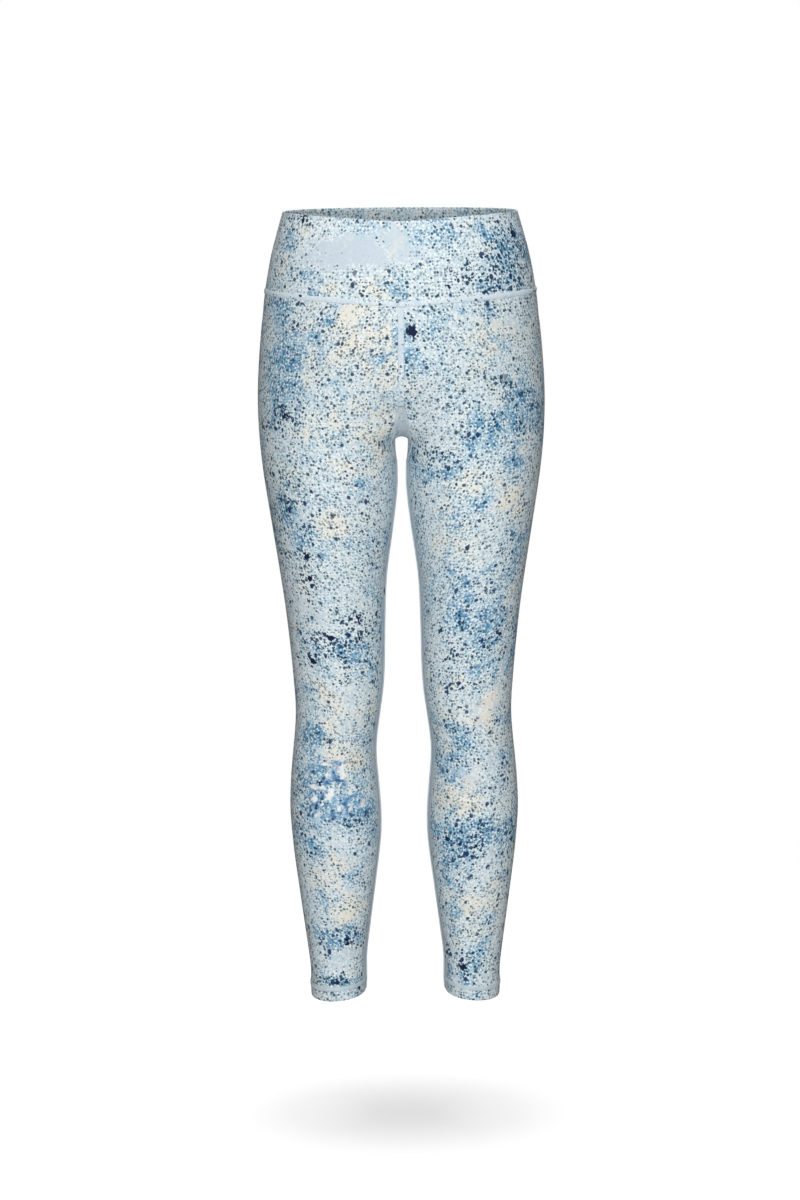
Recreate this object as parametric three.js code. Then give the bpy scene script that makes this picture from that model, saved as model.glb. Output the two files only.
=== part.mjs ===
// High-waisted seven-eighths leggings of printed stretch knit, hollow and standing in the shape of
// their own cut. Millimetres. The origin is the centre of the waist opening, +Z is up, the front
// faces -Y and +X is the wearer's left.

import * as THREE from 'three';

// Cloth walls and the gaps between sewn pieces
const knitWall = 1.2;
const waistbandWall = 2.4;
const hemWall = 2.2;
const seamGap = 0.3;

// Levels, as drops below the top edge of the waistband at the sides
const waistbandDrop = 85;
const frontDip = 7;
const seamFrontDip = 8;
const seamBackRise = 3;
const forkDrop = 246;
const riseHeight = 88;
const hemDrop = 885;
const hemHeight = 20;
const hemSlope = 0.08;
const hemSlopeFrom = 700;
const hemStep = 0.5;

// The gap between the thighs opens over this height below the crotch curve
const archHeight = 6;

// Below the fork the legs still open towards the body over this height, and the seams keep their own
// arch over this share of a row
const openingBelow = 45;
const seamReach = 0.14;

// Points of a body row crowd towards the centre seams by this power, to stand above those of the legs
const crowding = 1.5;

// Seat: two soft rounds either side of the centre back seam
const seat = { drop: 190, spread: 70, valley: 5, valleyWidth: 20, round: 5, roundAt: 66, roundWidth: 42 };

// Roundness of the sections, 2 being an ellipse
const bodyRoundness = 2.2;
const legRoundness = 2.08;

// Outer side of hips and legs
const outline = {
  columns: ['drop', 'side'],
  rows: [
    [0, 127], [22, 133.5], [48, 140.4], [85, 147.3], [126, 152.3], [165, 156], [205, 157.9],
    [246, 156.4], [286, 152.1], [340, 144], [420, 132.1], [475, 125.9], [530, 121.4], [557, 120.7],
    [585, 122.8], [613, 125.7], [641, 128], [669, 128.9], [697, 127.3], [725, 124.6], [781, 117.3],
    [838, 109.6], [857, 107.8], [872, 108.2], [888, 107.4],
  ],
};

// Centre front and centre back of the body, as distances from the middle plane
const body = {
  columns: ['drop', 'front', 'back'],
  rows: [
    [0, 86, 88], [45, 99, 98], [85, 106, 109], [126, 109, 121], [165, 108, 129], [205, 104, 131],
    [246, 98, 124],
  ],
};

// Inner side, front and back of one leg, carried on above the fork to guide the change to the body
const leg = {
  columns: ['drop', 'inner', 'front', 'back'],
  rows: [
    [158, 5, 96, 122], [205, 5, 94.5, 115], [246, 5, 92.5, 104.5], [272, 4.6, 91, 96.5],
    [300, 5.4, 89.5, 89.5], [340, 10.4, 85, 81.5], [400, 18.3, 76, 70.5], [448, 20.5, 69, 63],
    [502, 21.7, 62.5, 54.5], [530, 23.6, 59, 51.5], [557, 27.3, 55, 53.5], [592, 31.5, 50.5, 59.5],
    [613, 31.5, 48.5, 63], [641, 29.2, 46, 67], [676, 27, 43, 69], [704, 27.6, 41, 67.5],
    [753, 33.4, 37.5, 60.5], [810, 40.7, 34, 50.5], [843, 44.6, 32.8, 45.5], [872, 44.8, 33.4, 43.4],
    [888, 45.6, 33.2, 43],
  ],
};

// Edge of the gusset from its front tip down to its side tip: the way out from the fork, first along
// the crotch curve and then along the level row. Behind, it is longer by a share.
const gusset = {
  columns: ['rise', 'out'],
  rows: [
    [44, 96.2], [31, 87], [20, 76.5], [12, 66], [5, 55.5], [0, 46], [-7, 38], [-12, 31], [-20, 17.5],
    [-28, 1],
  ],
};
const gussetTip = 1.1;
const gussetGap = 0.6;
const gussetBackShare = 1.14;

// Grid of the cloth
const bodyRows = 4;
const riseRows = 9;
const archDrops = [1.5, 3.5, 7, 12, 20, 28];
const legRowStep = 29;
const legColumns = 32;
const waistbandRows = 4;
const waistbandColumns = 28;
const gussetColumns = 3;
const arcSteps = 40;
const walkSteps = 400;

const printedKnit = new THREE.MeshStandardMaterial({ color: 0xb9ccd9, roughness: 0.72, metalness: 0 });
const plainKnit = new THREE.MeshStandardMaterial({ color: 0xa7bccb, roughness: 0.8, metalness: 0 });

// A smooth curve through one column of a table
function through(table, column) {
  const at = table.columns.indexOf(column);
  const knots = table.rows.map((row) => ({ key: row[0], value: row[at] }));
  const slopeAt = (i) => {
    const before = knots[Math.max(0, i - 1)];
    const after = knots[Math.min(knots.length - 1, i + 1)];
    return (after.value - before.value) / (after.key - before.key);
  };
  const rising = knots[1].key > knots[0].key ? 1 : -1;
  return (key) => {
    let i = 0;
    while (i < knots.length - 2 && rising * (key - knots[i + 1].key) > 0) i += 1;
    const span = knots[i + 1].key - knots[i].key;
    const t = THREE.MathUtils.clamp((key - knots[i].key) / span, 0, 1);
    const start = (2 * t - 3) * t * t + 1;
    const lift = ((t - 2) * t + 1) * t;
    const fall = (t - 1) * t * t;
    const level = start * knots[i].value + (1 - start) * knots[i + 1].value;
    return level + span * (lift * slopeAt(i) + fall * slopeAt(i + 1));
  };
}

const sideAt = through(outline, 'side');
const bodyFrontAt = through(body, 'front');
const bodyBackAt = through(body, 'back');
const innerAt = through(leg, 'inner');
const legFrontAt = through(leg, 'front');
const legBackAt = through(leg, 'back');
const gussetOutAt = through(gusset, 'out');

const smooth = (t) => t * t * (3 - 2 * t);

// A quarter of a section from its front or back point round to its side point
function quarter(width, depth, roundness) {
  const points = [];
  for (let i = 0; i <= arcSteps; i += 1) {
    const angle = (i / arcSteps) * Math.PI / 2;
    const x = width * Math.pow(Math.sin(angle), 2 / roundness);
    const y = depth * Math.pow(Math.max(0, Math.cos(angle)), 2 / roundness);
    points.push([x, y]);
  }
  return points;
}

// A line of points walked at an even pace, from 0 to 1
function walk(points) {
  const lengths = [0];
  for (let i = 1; i < points.length; i += 1) {
    const step = Math.hypot(points[i][0] - points[i - 1][0], points[i][1] - points[i - 1][1]);
    lengths.push(lengths[i - 1] + step);
  }
  const total = lengths[lengths.length - 1];
  return (part) => {
    const want = THREE.MathUtils.clamp(part, 0, 1) * total;
    let i = 0;
    while (i < points.length - 2 && lengths[i + 1] < want) i += 1;
    const t = (want - lengths[i]) / (lengths[i + 1] - lengths[i]);
    return [
      THREE.MathUtils.lerp(points[i][0], points[i + 1][0], t),
      THREE.MathUtils.lerp(points[i][1], points[i + 1][1], t),
    ];
  };
}

// Two walks in one: the front half of a row, then its back half
function inHalves(front, back) {
  const walkFront = walk(front);
  const walkBack = walk(back);
  return (u) => (u < 0.5 ? walkFront(u * 2) : walkBack(u * 2 - 1));
}

function seatShape(x, drop) {
  const level = Math.exp(-(((drop - seat.drop) / seat.spread) ** 2));
  const valley = seat.valley * Math.exp(-((x / seat.valleyWidth) ** 2));
  const round = seat.round * Math.exp(-(((x - seat.roundAt) / seat.roundWidth) ** 2));
  return level * (round - valley);
}

// The body from centre front (u = 0) round the side to centre back (u = 1)
function bodySection(drop) {
  const front = bodyFrontAt(drop);
  const back = bodyBackAt(drop);
  const middle = (back - front) / 2;
  const depth = (back + front) / 2;
  const arc = quarter(sideAt(drop), depth, bodyRoundness);
  const frontHalf = arc.map(([x, y]) => [x, middle - y]);
  const backHalf = arc.map(([x, y]) => [x, middle + y + seatShape(x, drop) * (y / depth)]).reverse();
  return inHalves(frontHalf, backHalf);
}

// One leg from the inseam (u = 0) round its front, outer side and back to the inseam (u = 1),
// with the inner side on the middle plane
function legSection(drop) {
  const front = legFrontAt(drop);
  const back = legBackAt(drop);
  const middle = (back - front) / 2;
  const half = sideAt(drop) / 2;
  const arc = quarter(half, (back + front) / 2, legRoundness);
  const inner = arc.map(([x, y]) => [half - x, y]).reverse();
  const outer = arc.map(([x, y]) => [half + x, y]);
  const line = inner.concat(outer.slice(1));
  const frontHalf = line.map(([x, y]) => [x, middle - y]);
  const backHalf = line.map(([x, y]) => [x, middle + y]).reverse();
  return inHalves(frontHalf, backHalf);
}

// How far a row has opened from a closed leg (0) to the open body (1). The seam ends open in a round
// arch above the fork, and the rest of the row more slowly from below it.
function openingAt(drop, u) {
  const rise = THREE.MathUtils.clamp((forkDrop - drop) / riseHeight, 0, 1);
  const atSeam = Math.sqrt(2 * rise - rise * rise);
  const below = THREE.MathUtils.clamp((forkDrop + openingBelow - drop) / (openingBelow + riseHeight), 0, 1);
  const seamShare = 1 - smooth(Math.min(1, Math.min(u, 1 - u) / seamReach));
  return THREE.MathUtils.lerp(smooth(below), atSeam, seamShare);
}

// Where the crotch curve stands at a drop, in front (u = 0) or behind (u = 1)
function crotchPoint(drop, u) {
  const opening = openingAt(drop, u);
  const legEnd = legSection(drop)(u)[1];
  return legEnd + (bodySection(drop)(u)[1] - legEnd) * opening;
}

const forkY = crotchPoint(forkDrop, 0);

// Height of the crotch curve above the fork, for a depth y
const crotchRise = (() => {
  const ends = [0, 1].map((u) => {
    const list = [];
    const count = riseRows * 4;
    for (let i = 0; i <= count; i += 1) {
      const rise = riseHeight * (1 - Math.cos((i / count) * Math.PI / 2));
      list.push({ rise, reach: Math.abs(crotchPoint(forkDrop - rise, u) - forkY) });
    }
    return list;
  });
  return (y) => {
    const list = ends[y < forkY ? 0 : 1];
    const reach = Math.abs(y - forkY);
    let i = 0;
    while (i < list.length - 2 && list[i + 1].reach < reach) i += 1;
    const t = THREE.MathUtils.clamp((reach - list[i].reach) / (list[i + 1].reach - list[i].reach), 0, 1);
    return THREE.MathUtils.lerp(list[i].rise, list[i + 1].rise, t);
  };
})();

function crowded(u) {
  return u < 0.5 ? Math.pow(2 * u, crowding) / 2 : 1 - Math.pow(2 - 2 * u, crowding) / 2;
}

// The outer face of the cloth on the wearer's left: one row of the grid as a function of u
function rowAt(drop) {
  const bodyRow = bodySection(drop);
  const legRow = legSection(drop);
  const inner = innerAt(drop);
  const side = sideAt(drop);
  const lower = THREE.MathUtils.clamp((drop - hemSlopeFrom) / (hemDrop - hemSlopeFrom), 0, 1);
  const slope = hemSlope * smooth(lower);
  return (u) => {
    const [legX, legY] = legRow(u);
    const [bodyX, bodyY] = bodyRow(crowded(u));
    const opening = openingAt(drop, u);
    const gap = inner * (1 - opening);
    const x = legX + (bodyX - legX) * opening;
    const y = legY + (bodyY - legY) * opening;
    const depth = drop - forkDrop + crotchRise(y);
    const arch = THREE.MathUtils.clamp(depth / archHeight, 0, 1);
    const shift = gap * Math.sqrt(1 - (1 - arch) ** 2) * (1 - x / side);
    const centre = (side + inner) / 2;
    return new THREE.Vector3(x + shift, y, -drop - slope * (x + shift - centre));
  };
}

// The part of a row that lies a distance along it from its front end (u = 0) or back end (u = 1)
function partAlong(row, distance, fromBack) {
  let walked = 0;
  let last = row(fromBack ? 1 : 0);
  for (let i = 1; i <= walkSteps; i += 1) {
    const u = fromBack ? 1 - i / walkSteps : i / walkSteps;
    const next = row(u);
    const step = last.distanceTo(next);
    if (walked + step >= distance) {
      const t = (i - 1 + (distance - walked) / step) / walkSteps;
      return fromBack ? 1 - t : t;
    }
    walked += step;
    last = next;
  }
  return fromBack ? 0 : 1;
}

const frontShare = (u) => (u < 0.5 ? Math.cos(Math.PI * u) ** 2 : 0);
const backShare = (u) => (u > 0.5 ? Math.cos(Math.PI * u) ** 2 : 0);
const topDrop = (u) => frontDip * frontShare(u);
const seamDrop = (u) => waistbandDrop + seamFrontDip * frontShare(u) - seamBackRise * backShare(u);

// Grid rows of points and the cloth's depth at each row, as a sheet of triangles that face outwards.
// A mirrored sheet is for the wearer's right.
function sheetFrom(rows, mirrored) {
  const columns = rows[0].points.length;
  const side = mirrored ? -1 : 1;
  const points = [];
  const faces = [];
  rows.forEach((row) => {
    row.points.forEach((p) => {
      points.push({ place: new THREE.Vector3(p.x * side, p.y, p.z), wall: row.wall });
    });
  });
  for (let r = 0; r + 1 < rows.length; r += 1) {
    for (let c = 0; c + 1 < columns; c += 1) {
      const a = r * columns + c;
      const b = a + columns;
      const halves = rows[r].points[c].y < forkY ? [[a, b, b + 1], [a, b + 1, a + 1]]
        : [[a, b, a + 1], [b, b + 1, a + 1]];
      halves.forEach(([i, j, k]) => faces.push(mirrored ? [i, k, j] : [i, j, k]));
    }
  }
  return { points, faces };
}

// Sheets joined into one where their edge points meet
function weld(sheets) {
  const points = [];
  const faces = [];
  const known = new Map();
  sheets.forEach((sheet) => {
    const numbers = sheet.points.map((point) => {
      const key = point.place.toArray().map((v) => Math.round(v * 1000)).join(' ').replace(/-0\b/g, '0');
      if (!known.has(key)) {
        known.set(key, points.length);
        points.push(point);
      }
      return known.get(key);
    });
    sheet.faces.forEach((face) => {
      const [i, j, k] = face.map((at) => numbers[at]);
      if (i !== j && j !== k && k !== i) faces.push([i, j, k]);
    });
  });
  return { points, faces };
}

// A closed wall: the sheet is its outer face, and its inner face lies the cloth's depth inside
function thicken({ points, faces }) {
  const outer = points.map((point) => point.place);
  const normals = outer.map(() => new THREE.Vector3());
  faces.forEach(([i, j, k]) => {
    const edge = outer[j].clone().sub(outer[i]);
    const facing = edge.cross(outer[k].clone().sub(outer[i]));
    [i, j, k].forEach((at) => normals[at].add(facing));
  });
  const inner = points.map(({ place, wall }, at) => {
    const inwards = normals[at].normalize().negate();
    return place.clone().addScaledVector(inwards, wall);
  });
  const count = outer.length;
  const triangles = [];
  const edges = new Map();
  faces.forEach(([i, j, k]) => {
    triangles.push([i, j, k], [count + i, count + k, count + j]);
    [[i, j], [j, k], [k, i]].forEach(([a, b]) => edges.set(`${a} ${b}`, [a, b]));
  });
  edges.forEach(([a, b]) => {
    if (edges.has(`${b} ${a}`)) return;
    triangles.push([b, a, count + a], [b, count + a, count + b]);
  });
  const geometry = new THREE.BufferGeometry();
  const numbers = outer.concat(inner).flatMap((place) => place.toArray());
  geometry.setAttribute('position', new THREE.Float32BufferAttribute(numbers, 3));
  geometry.setIndex(triangles.flat());
  geometry.computeVertexNormals();
  return geometry;
}

function pieceOf(name, sheet, material) {
  const mesh = new THREE.Mesh(thicken(sheet), material);
  mesh.name = name;
  return mesh;
}

// Even steps between two values, ends included
function steps(from, to, count) {
  return Array.from({ length: count + 1 }, (_, i) => THREE.MathUtils.lerp(from, to, i / count));
}

// Drops of the level rows from the top of the crotch curve to the hem
function levelDrops() {
  const rise = steps(Math.PI / 2, 0, riseRows).map((angle) => forkDrop - riseHeight * (1 - Math.cos(angle)));
  const arch = archDrops.map((drop) => forkDrop + drop);
  const start = arch[arch.length - 1];
  const hemTop = hemDrop - hemHeight;
  const count = Math.round((hemTop - start) / legRowStep);
  return [...rise, ...arch, ...steps(start, hemTop, count).slice(1), hemTop + hemStep, hemDrop];
}

// How far the gusset reaches along a row from its front end (u = 0) or back end (u = 1)
function gussetReach(drop, u) {
  const rise = forkDrop - drop;
  const top = gusset.rows[0][0];
  const foot = gusset.rows[gusset.rows.length - 1][0];
  const slack = 0.01;
  if (rise > top + slack || rise < foot - slack) return 0;
  const share = u === 0 ? 1 : gussetBackShare;
  const start = rise > 0 ? Math.abs(crotchPoint(drop, u) - forkY) : 0;
  return Math.max(gussetTip, gussetOutAt(rise) * share - start);
}

// A row of the leg from seam to seam, with a drop that may change along it
function legRow(level, dropAt) {
  const row = rowAt(level);
  const start = partAlong(row, gussetReach(level, 0) + seamGap / 2, false);
  const end = partAlong(row, gussetReach(level, 1) + seamGap / 2, true);
  return steps(start, end, legColumns).map((u) => (dropAt ? rowAt(dropAt(u))(u) : row(u)));
}

// A leg is one piece from the waistband seam to the hem, with the hem turned up inside it
function makeLeg(name, mirrored) {
  const levels = levelDrops();
  const rows = [];
  for (let r = 0; r < bodyRows; r += 1) {
    const share = r / bodyRows;
    const dropAt = (u) => THREE.MathUtils.lerp(seamDrop(u) + seamGap / 2, levels[0], share);
    const level = THREE.MathUtils.lerp(waistbandDrop, levels[0], share);
    rows.push({ points: legRow(level, dropAt), wall: knitWall });
  }
  levels.forEach((level) => {
    const wall = level > hemDrop - hemHeight ? hemWall : knitWall;
    rows.push({ points: legRow(level), wall });
  });
  return pieceOf(name, sheetFrom(rows, mirrored), printedKnit);
}

// The waistband is one doubled strip, joined at the centre back
function makeWaistband(name) {
  const rows = steps(0, 1, waistbandRows).map((share) => {
    const pointAt = (u) => rowAt(THREE.MathUtils.lerp(topDrop(u), seamDrop(u) - seamGap / 2, share))(u);
    const end = partAlong(rowAt(waistbandDrop * share), seamGap / 2, true);
    const left = steps(0, end, waistbandColumns).map(pointAt);
    const right = left.slice(1).map((p) => new THREE.Vector3(-p.x, p.y, p.z)).reverse();
    return { points: [...right, ...left], wall: waistbandWall };
  });
  return pieceOf(name, sheetFrom(rows, false), printedKnit);
}

// The gusset is a long diamond set between the four seam ends at the fork
function makeGusset(name) {
  const levels = levelDrops().filter((drop) => gussetReach(drop, 0) > 0);
  const sheets = [];
  [false, true].forEach((mirrored) => {
    [false, true].forEach((behind) => {
      const rows = levels.map((drop) => {
        const row = rowAt(drop);
        const reach = gussetReach(drop, behind ? 1 : 0) - gussetGap + seamGap / 2;
        const end = partAlong(row, reach, behind);
        const parts = behind ? steps(end, 1, gussetColumns) : steps(0, end, gussetColumns);
        return { points: parts.map(row), wall: knitWall };
      });
      sheets.push(sheetFrom(rows, mirrored));
    });
  });
  return pieceOf(name, weld(sheets), plainKnit);
}

const group = new THREE.Group();
group.add(makeWaistband('waistband'));
group.add(makeLeg('leg_left', false));
group.add(makeLeg('leg_right', true));
group.add(makeGusset('gusset'));

export default group;
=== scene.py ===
import math

import bpy
import numpy as np
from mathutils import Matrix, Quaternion, Vector


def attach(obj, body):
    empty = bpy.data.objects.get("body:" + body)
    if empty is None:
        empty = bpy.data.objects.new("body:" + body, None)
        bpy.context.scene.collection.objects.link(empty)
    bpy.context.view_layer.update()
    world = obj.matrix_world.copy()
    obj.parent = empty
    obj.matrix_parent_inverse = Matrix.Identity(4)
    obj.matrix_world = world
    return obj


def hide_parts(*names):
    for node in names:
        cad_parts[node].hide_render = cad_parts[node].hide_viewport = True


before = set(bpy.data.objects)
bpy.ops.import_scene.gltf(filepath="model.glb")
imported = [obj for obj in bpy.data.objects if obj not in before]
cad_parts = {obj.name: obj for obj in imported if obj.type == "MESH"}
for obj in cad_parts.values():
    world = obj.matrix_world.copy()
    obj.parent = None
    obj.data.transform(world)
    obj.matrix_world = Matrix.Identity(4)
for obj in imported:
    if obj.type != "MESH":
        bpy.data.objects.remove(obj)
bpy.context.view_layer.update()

mm = 0.001

# The form of the garment, in millimetres, on the wearer's left. A drop is measured down from the top
# edge of the waistband at the sides, and u runs round a row from the front seam (0) to the back seam (1).
form = {
    "waistbandDrop": 85, "frontDip": 7, "seamFrontDip": 8, "seamBackRise": 3,
    "forkDrop": 246, "riseHeight": 88, "hemDrop": 885, "hemHeight": 20,
    "hemSlope": 0.08, "hemSlopeFrom": 700, "archHeight": 4.5,
    "openingBelow": 45, "seamReach": 0.14, "crowding": 1.5,
    "bodyRoundness": 2.2, "legRoundness": 2.08, "seamGap": 0.3, "gussetBackShare": 1.14,
}
seat = {
    "drop": 190, "spread": 70, "valley": 5, "valleyWidth": 20, "round": 5, "roundAt": 66,
    "roundWidth": 42,
}

# drop, outer side
outlineRows = [
    (0, 127), (22, 133.5), (48, 140.4), (85, 147.3), (126, 152.3), (165, 156), (205, 157.9),
    (246, 156.4), (286, 152.1), (340, 144), (420, 132.1), (475, 125.9), (530, 121.4), (557, 120.7),
    (585, 122.8), (613, 125.7), (641, 128), (669, 128.9), (697, 127.3), (725, 124.6), (781, 117.3),
    (838, 109.6), (857, 107.8), (872, 108.2), (888, 107.4),
]
# drop, centre front, centre back
bodyRows = [
    (0, 86, 88), (45, 99, 98), (85, 106, 109), (126, 109, 121), (165, 108, 129), (205, 104, 131),
    (246, 98, 124),
]
# drop, inner side, front and back of one leg
legRows = [
    (158, 5, 96, 122), (205, 5, 94.5, 115), (246, 7, 92.5, 104.5), (256, 6.8, 92, 101.5),
    (276, 5.9, 90.8, 95.5), (300, 5.8, 89.5, 89.5), (340, 10.2, 85, 81.5), (400, 18.3, 76, 70.5),
    (448, 20.5, 69, 63), (502, 21.7, 62.5, 54.5), (530, 23.6, 59, 51.5), (557, 27.3, 55, 53.5),
    (592, 31.5, 50.5, 59.5), (613, 31.5, 48.5, 63), (641, 29.2, 46, 67), (676, 27, 43, 69),
    (704, 27.6, 41, 67.5), (753, 33.4, 37.5, 60.5), (810, 40.7, 34, 50.5), (843, 44.6, 32.8, 45.5),
    (872, 44.8, 33.4, 43.4), (888, 45.6, 33.2, 43),
]
# rise above the fork, way out from the fork to the gusset's edge
gussetRows = [
    (-28, 1), (-20, 17.5), (-12, 31), (-7, 38), (0, 46), (5, 55.5), (12, 66), (20, 76.5), (31, 87),
    (44, 96.2),
]


def through(rows, column):
    keys = np.array([row[0] for row in rows], float)
    values = np.array([row[column] for row in rows], float)
    slopes = np.empty_like(values)
    slopes[1:-1] = (values[2:] - values[:-2]) / (keys[2:] - keys[:-2])
    slopes[0] = (values[1] - values[0]) / (keys[1] - keys[0])
    slopes[-1] = (values[-1] - values[-2]) / (keys[-1] - keys[-2])

    def at(key):
        i = np.clip(np.searchsorted(keys, key, side="right") - 1, 0, len(keys) - 2)
        span = keys[i + 1] - keys[i]
        t = np.clip((key - keys[i]) / span, 0, 1)
        start = (2 * t - 3) * t * t + 1
        level = start * values[i] + (1 - start) * values[i + 1]
        return level + span * (((t - 2) * t + 1) * t * slopes[i] + (t - 1) * t * t * slopes[i + 1])

    return at


sideAt = through(outlineRows, 1)
bodyFrontAt, bodyBackAt = through(bodyRows, 1), through(bodyRows, 2)
innerAt, legFrontAt, legBackAt = (through(legRows, column) for column in (1, 2, 3))
gussetOutAt = through(gussetRows, 1)


def smooth(t):
    t = np.clip(t, 0, 1)
    return t * t * (3 - 2 * t)


def unit(vectors):
    return vectors / np.linalg.norm(vectors, axis=-1, keepdims=True)


def quarter(width, depth, roundness):
    angle = np.linspace(0, math.pi / 2, 61)
    x = width * np.sin(angle) ** (2 / roundness)
    y = depth * np.clip(np.cos(angle), 0, None) ** (2 / roundness)
    return np.stack([x, y], 1)


def walk(points, part):
    lengths = np.concatenate([[0], np.cumsum(np.linalg.norm(np.diff(points, axis=0), axis=1))])
    want = np.clip(part, 0, 1) * lengths[-1]
    return np.stack([np.interp(want, lengths, points[:, k]) for k in (0, 1)], 1)


def inHalves(front, back, u):
    return np.where((u < 0.5)[:, None], walk(front, u * 2), walk(back, u * 2 - 1))


def bodySection(drop, u):
    front, back = bodyFrontAt(drop), bodyBackAt(drop)
    middle, depth = (back - front) / 2, (back + front) / 2
    x, y = quarter(sideAt(drop), depth, form["bodyRoundness"]).T
    level = math.exp(-(((drop - seat["drop"]) / seat["spread"]) ** 2))
    valley = seat["valley"] * np.exp(-((x / seat["valleyWidth"]) ** 2))
    bulge = seat["round"] * np.exp(-(((x - seat["roundAt"]) / seat["roundWidth"]) ** 2))
    frontHalf = np.stack([x, middle - y], 1)
    backHalf = np.stack([x, middle + y + level * (bulge - valley) * y / depth], 1)[::-1]
    return inHalves(frontHalf, backHalf, u)


def legSection(drop, u):
    front, back = legFrontAt(drop), legBackAt(drop)
    middle, half = (back - front) / 2, sideAt(drop) / 2
    x, y = quarter(half, (back + front) / 2, form["legRoundness"]).T
    lineX = np.concatenate([(half - x)[::-1], (half + x)[1:]])
    lineY = np.concatenate([y[::-1], y[1:]])
    frontHalf = np.stack([lineX, middle - lineY], 1)
    backHalf = np.stack([lineX, middle + lineY], 1)[::-1]
    return inHalves(frontHalf, backHalf, u)


def openingAt(drop, u):
    rise = np.clip((form["forkDrop"] - drop) / form["riseHeight"], 0, 1)
    below = (form["forkDrop"] + form["openingBelow"] - drop) / (form["openingBelow"] + form["riseHeight"])
    seamShare = 1 - smooth(np.minimum(u, 1 - u) / form["seamReach"])
    return smooth(below) + (np.sqrt(2 * rise - rise * rise) - smooth(below)) * seamShare


def crowded(u):
    power = form["crowding"]
    near, far = np.clip(2 * u, 0, 1), np.clip(2 - 2 * u, 0, 1)
    return np.where(u < 0.5, near ** power / 2, 1 - far ** power / 2)


def crotchPoint(drop, end):
    u = np.array([float(end)])
    legEnd = legSection(drop, u)[0, 1]
    return legEnd + (bodySection(drop, u)[0, 1] - legEnd) * openingAt(drop, u)[0]


forkY = crotchPoint(form["forkDrop"], 0)
crotchRises = form["riseHeight"] * (1 - np.cos(np.linspace(0, math.pi / 2, 37)))
crotchReaches = [
    [abs(crotchPoint(form["forkDrop"] - rise, end) - forkY) for rise in crotchRises] for end in (0, 1)
]


def crotchRise(y):
    reach = np.abs(y - forkY)
    front, back = (np.interp(reach, reaches, crotchRises) for reaches in crotchReaches)
    return np.where(y < forkY, front, back)


def formRow(drop, u):
    legXY, bodyXY = legSection(drop, u), bodySection(drop, crowded(u))
    opening = openingAt(drop, u)
    x, y = (legXY + (bodyXY - legXY) * opening[:, None]).T
    inner, side = innerAt(drop), sideAt(drop)
    arch = np.clip((drop - form["forkDrop"] + crotchRise(y)) / form["archHeight"], 0, 1)
    x = x + inner * (1 - opening) * np.sqrt(1 - (1 - arch) ** 2) * (1 - x / side)
    lower = (drop - form["hemSlopeFrom"]) / (form["hemDrop"] - form["hemSlopeFrom"])
    slope = form["hemSlope"] * smooth(lower)
    return np.stack([x, y, -drop - slope * (x - (side + inner) / 2)], 1)


# The form on a fine grid, finest at the crotch, which every piece of cloth and every seam reads
gridDrops = np.concatenate([
    np.arange(0, 156, 4), np.arange(156, 238, 2), np.arange(238, 262, 0.5), np.arange(262, 889, 4), [890],
]).astype(float)
gridU = np.linspace(0, 1, 481)
gridPoints = np.array([formRow(drop, gridU) for drop in gridDrops])
gridNormals = np.cross(np.gradient(gridPoints, gridDrops, axis=0), np.gradient(gridPoints, gridU, axis=1))
# above the fork both ends of a row lie on the middle plane
for end in (0, -1):
    gridPoints[gridDrops <= form["forkDrop"], end, 0] = 0
    gridNormals[gridDrops <= form["forkDrop"], end, 0] = 0
gridNormals = unit(gridNormals)
gridLengths = np.linalg.norm(np.diff(gridPoints, axis=1), axis=2)
gridLengths = np.concatenate([np.zeros((len(gridDrops), 1)), np.cumsum(gridLengths, axis=1)], 1)
gridAcross = gridLengths - gridLengths[:, [len(gridU) // 2]]


def fromGrid(grid, drop, u):
    drop, u = np.broadcast_arrays(np.asarray(drop, float), np.asarray(u, float))
    i = np.clip(np.searchsorted(gridDrops, drop, side="right") - 1, 0, len(gridDrops) - 2)
    s = np.clip((drop - gridDrops[i]) / (gridDrops[i + 1] - gridDrops[i]), 0, 1)
    place = np.clip(u, 0, 1) * (len(gridU) - 1)
    j = np.clip(place.astype(int), 0, len(gridU) - 2)
    t = place - j
    if grid.ndim == 3:
        s, t = s[..., None], t[..., None]
    near = grid[i, j] * (1 - t) + grid[i, j + 1] * t
    far = grid[i + 1, j] * (1 - t) + grid[i + 1, j + 1] * t
    return near * (1 - s) + far * s


def partAlong(drop, distance, fromBack):
    row = fromGrid(gridLengths, drop, gridU)
    if fromBack:
        return float(np.interp(row[-1] - distance, row, gridU))
    return float(np.interp(distance, row, gridU))


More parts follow.
